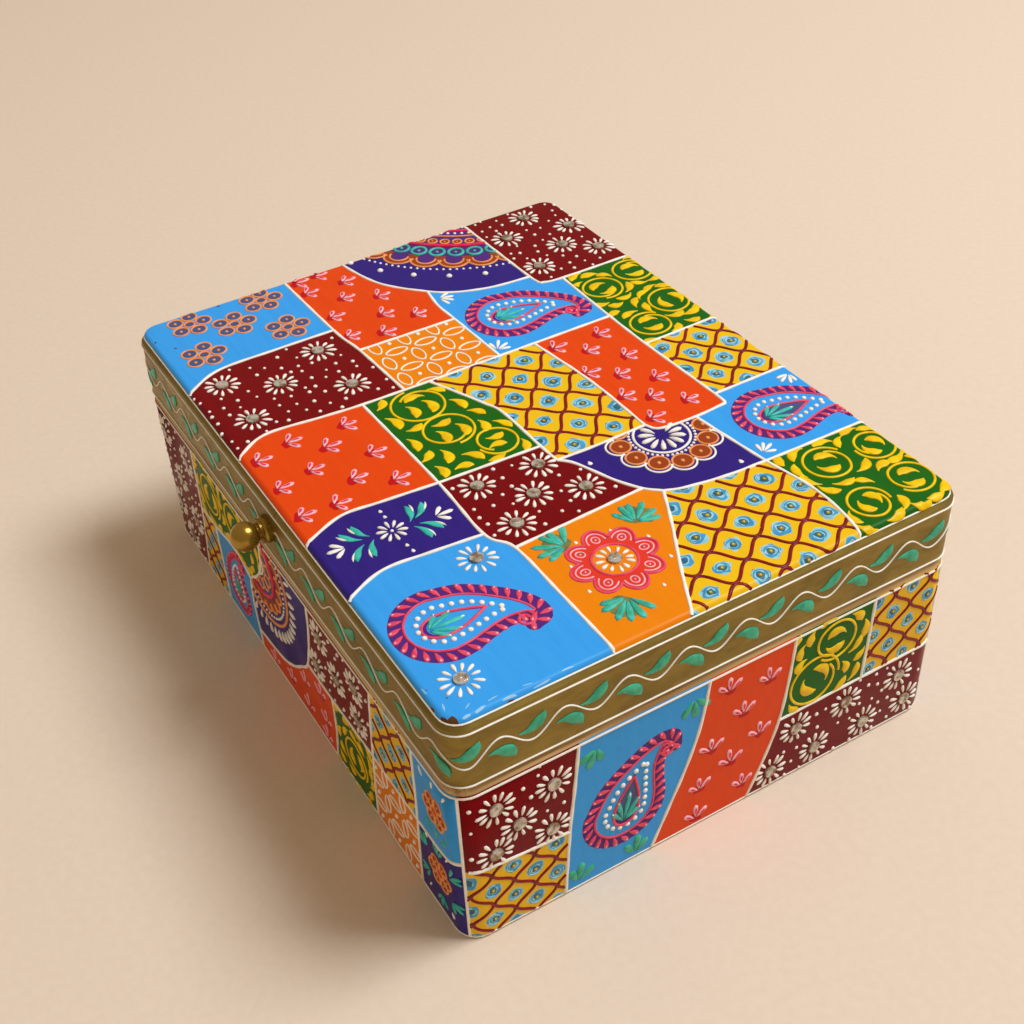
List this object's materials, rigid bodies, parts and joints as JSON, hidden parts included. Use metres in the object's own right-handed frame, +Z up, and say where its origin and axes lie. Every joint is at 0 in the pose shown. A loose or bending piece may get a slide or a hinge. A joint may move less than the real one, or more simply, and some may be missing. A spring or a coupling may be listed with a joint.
{
  "type": "storage box",
  "caption": "Painted wooden storage box with a brass-bound lid that swings on hinges at the back, a ball knob at the front and round mirror chips in its patchwork decoration.",
  "frame": {"origin": "middle of the flat underside", "axes": "+X along the front towards its right end, +Y from the front to the hinged back, +Z up"},
  "size_m": [0.307, 0.2532, 0.121],
  "materials": {
    "wood": "sanded and oiled hardwood, painted outside",
    "brass_sheet": "hand-rubbed antique brass sheet",
    "turned_brass": "turned and lacquered brass",
    "hinge_brass": "pressed brass",
    "steel": "plain bright steel",
    "mirror_chip": "cut mirror glass"
  },
  "bodies": {
    "base": {"base_front_board": "wood", "base_back_board": "wood", "base_left_board": "wood", "base_right_board": "wood", "base_floor": "wood", "base_corner_brads": "steel", "base_floor_brads": "steel", "base_front_mirrors": "mirror_chip", "base_right_mirrors": "mirror_chip", "base_back_mirrors": "mirror_chip", "base_left_mirrors": "mirror_chip", "hinge_base_leaf_left": "hinge_brass", "hinge_base_leaf_right": "hinge_brass", "hinge_pin_left": "hinge_brass", "hinge_pin_right": "hinge_brass", "hinge_base_screws": "hinge_brass"},
    "lid": {"lid_top_board": "wood", "lid_front_rail": "wood", "lid_back_rail": "wood", "lid_left_rail": "wood", "lid_right_rail": "wood", "lid_corner_brads": "steel", "lid_top_brads": "steel", "lid_brass_band": "brass_sheet", "lid_mirrors": "mirror_chip", "knob": "turned_brass", "knob_screw": "steel", "knob_washer": "steel", "hinge_lid_leaf_left": "hinge_brass", "hinge_lid_leaf_right": "hinge_brass", "hinge_lid_screws": "hinge_brass"}
  },
  "joints": [
    {"name": "lid_hinge", "type": "hinge", "parent": "base", "child": "lid", "pos_m": [0, 0.1185, 0.0871], "axis": [-1, 0, 0], "range_deg": [0, 180]}
  ]
}
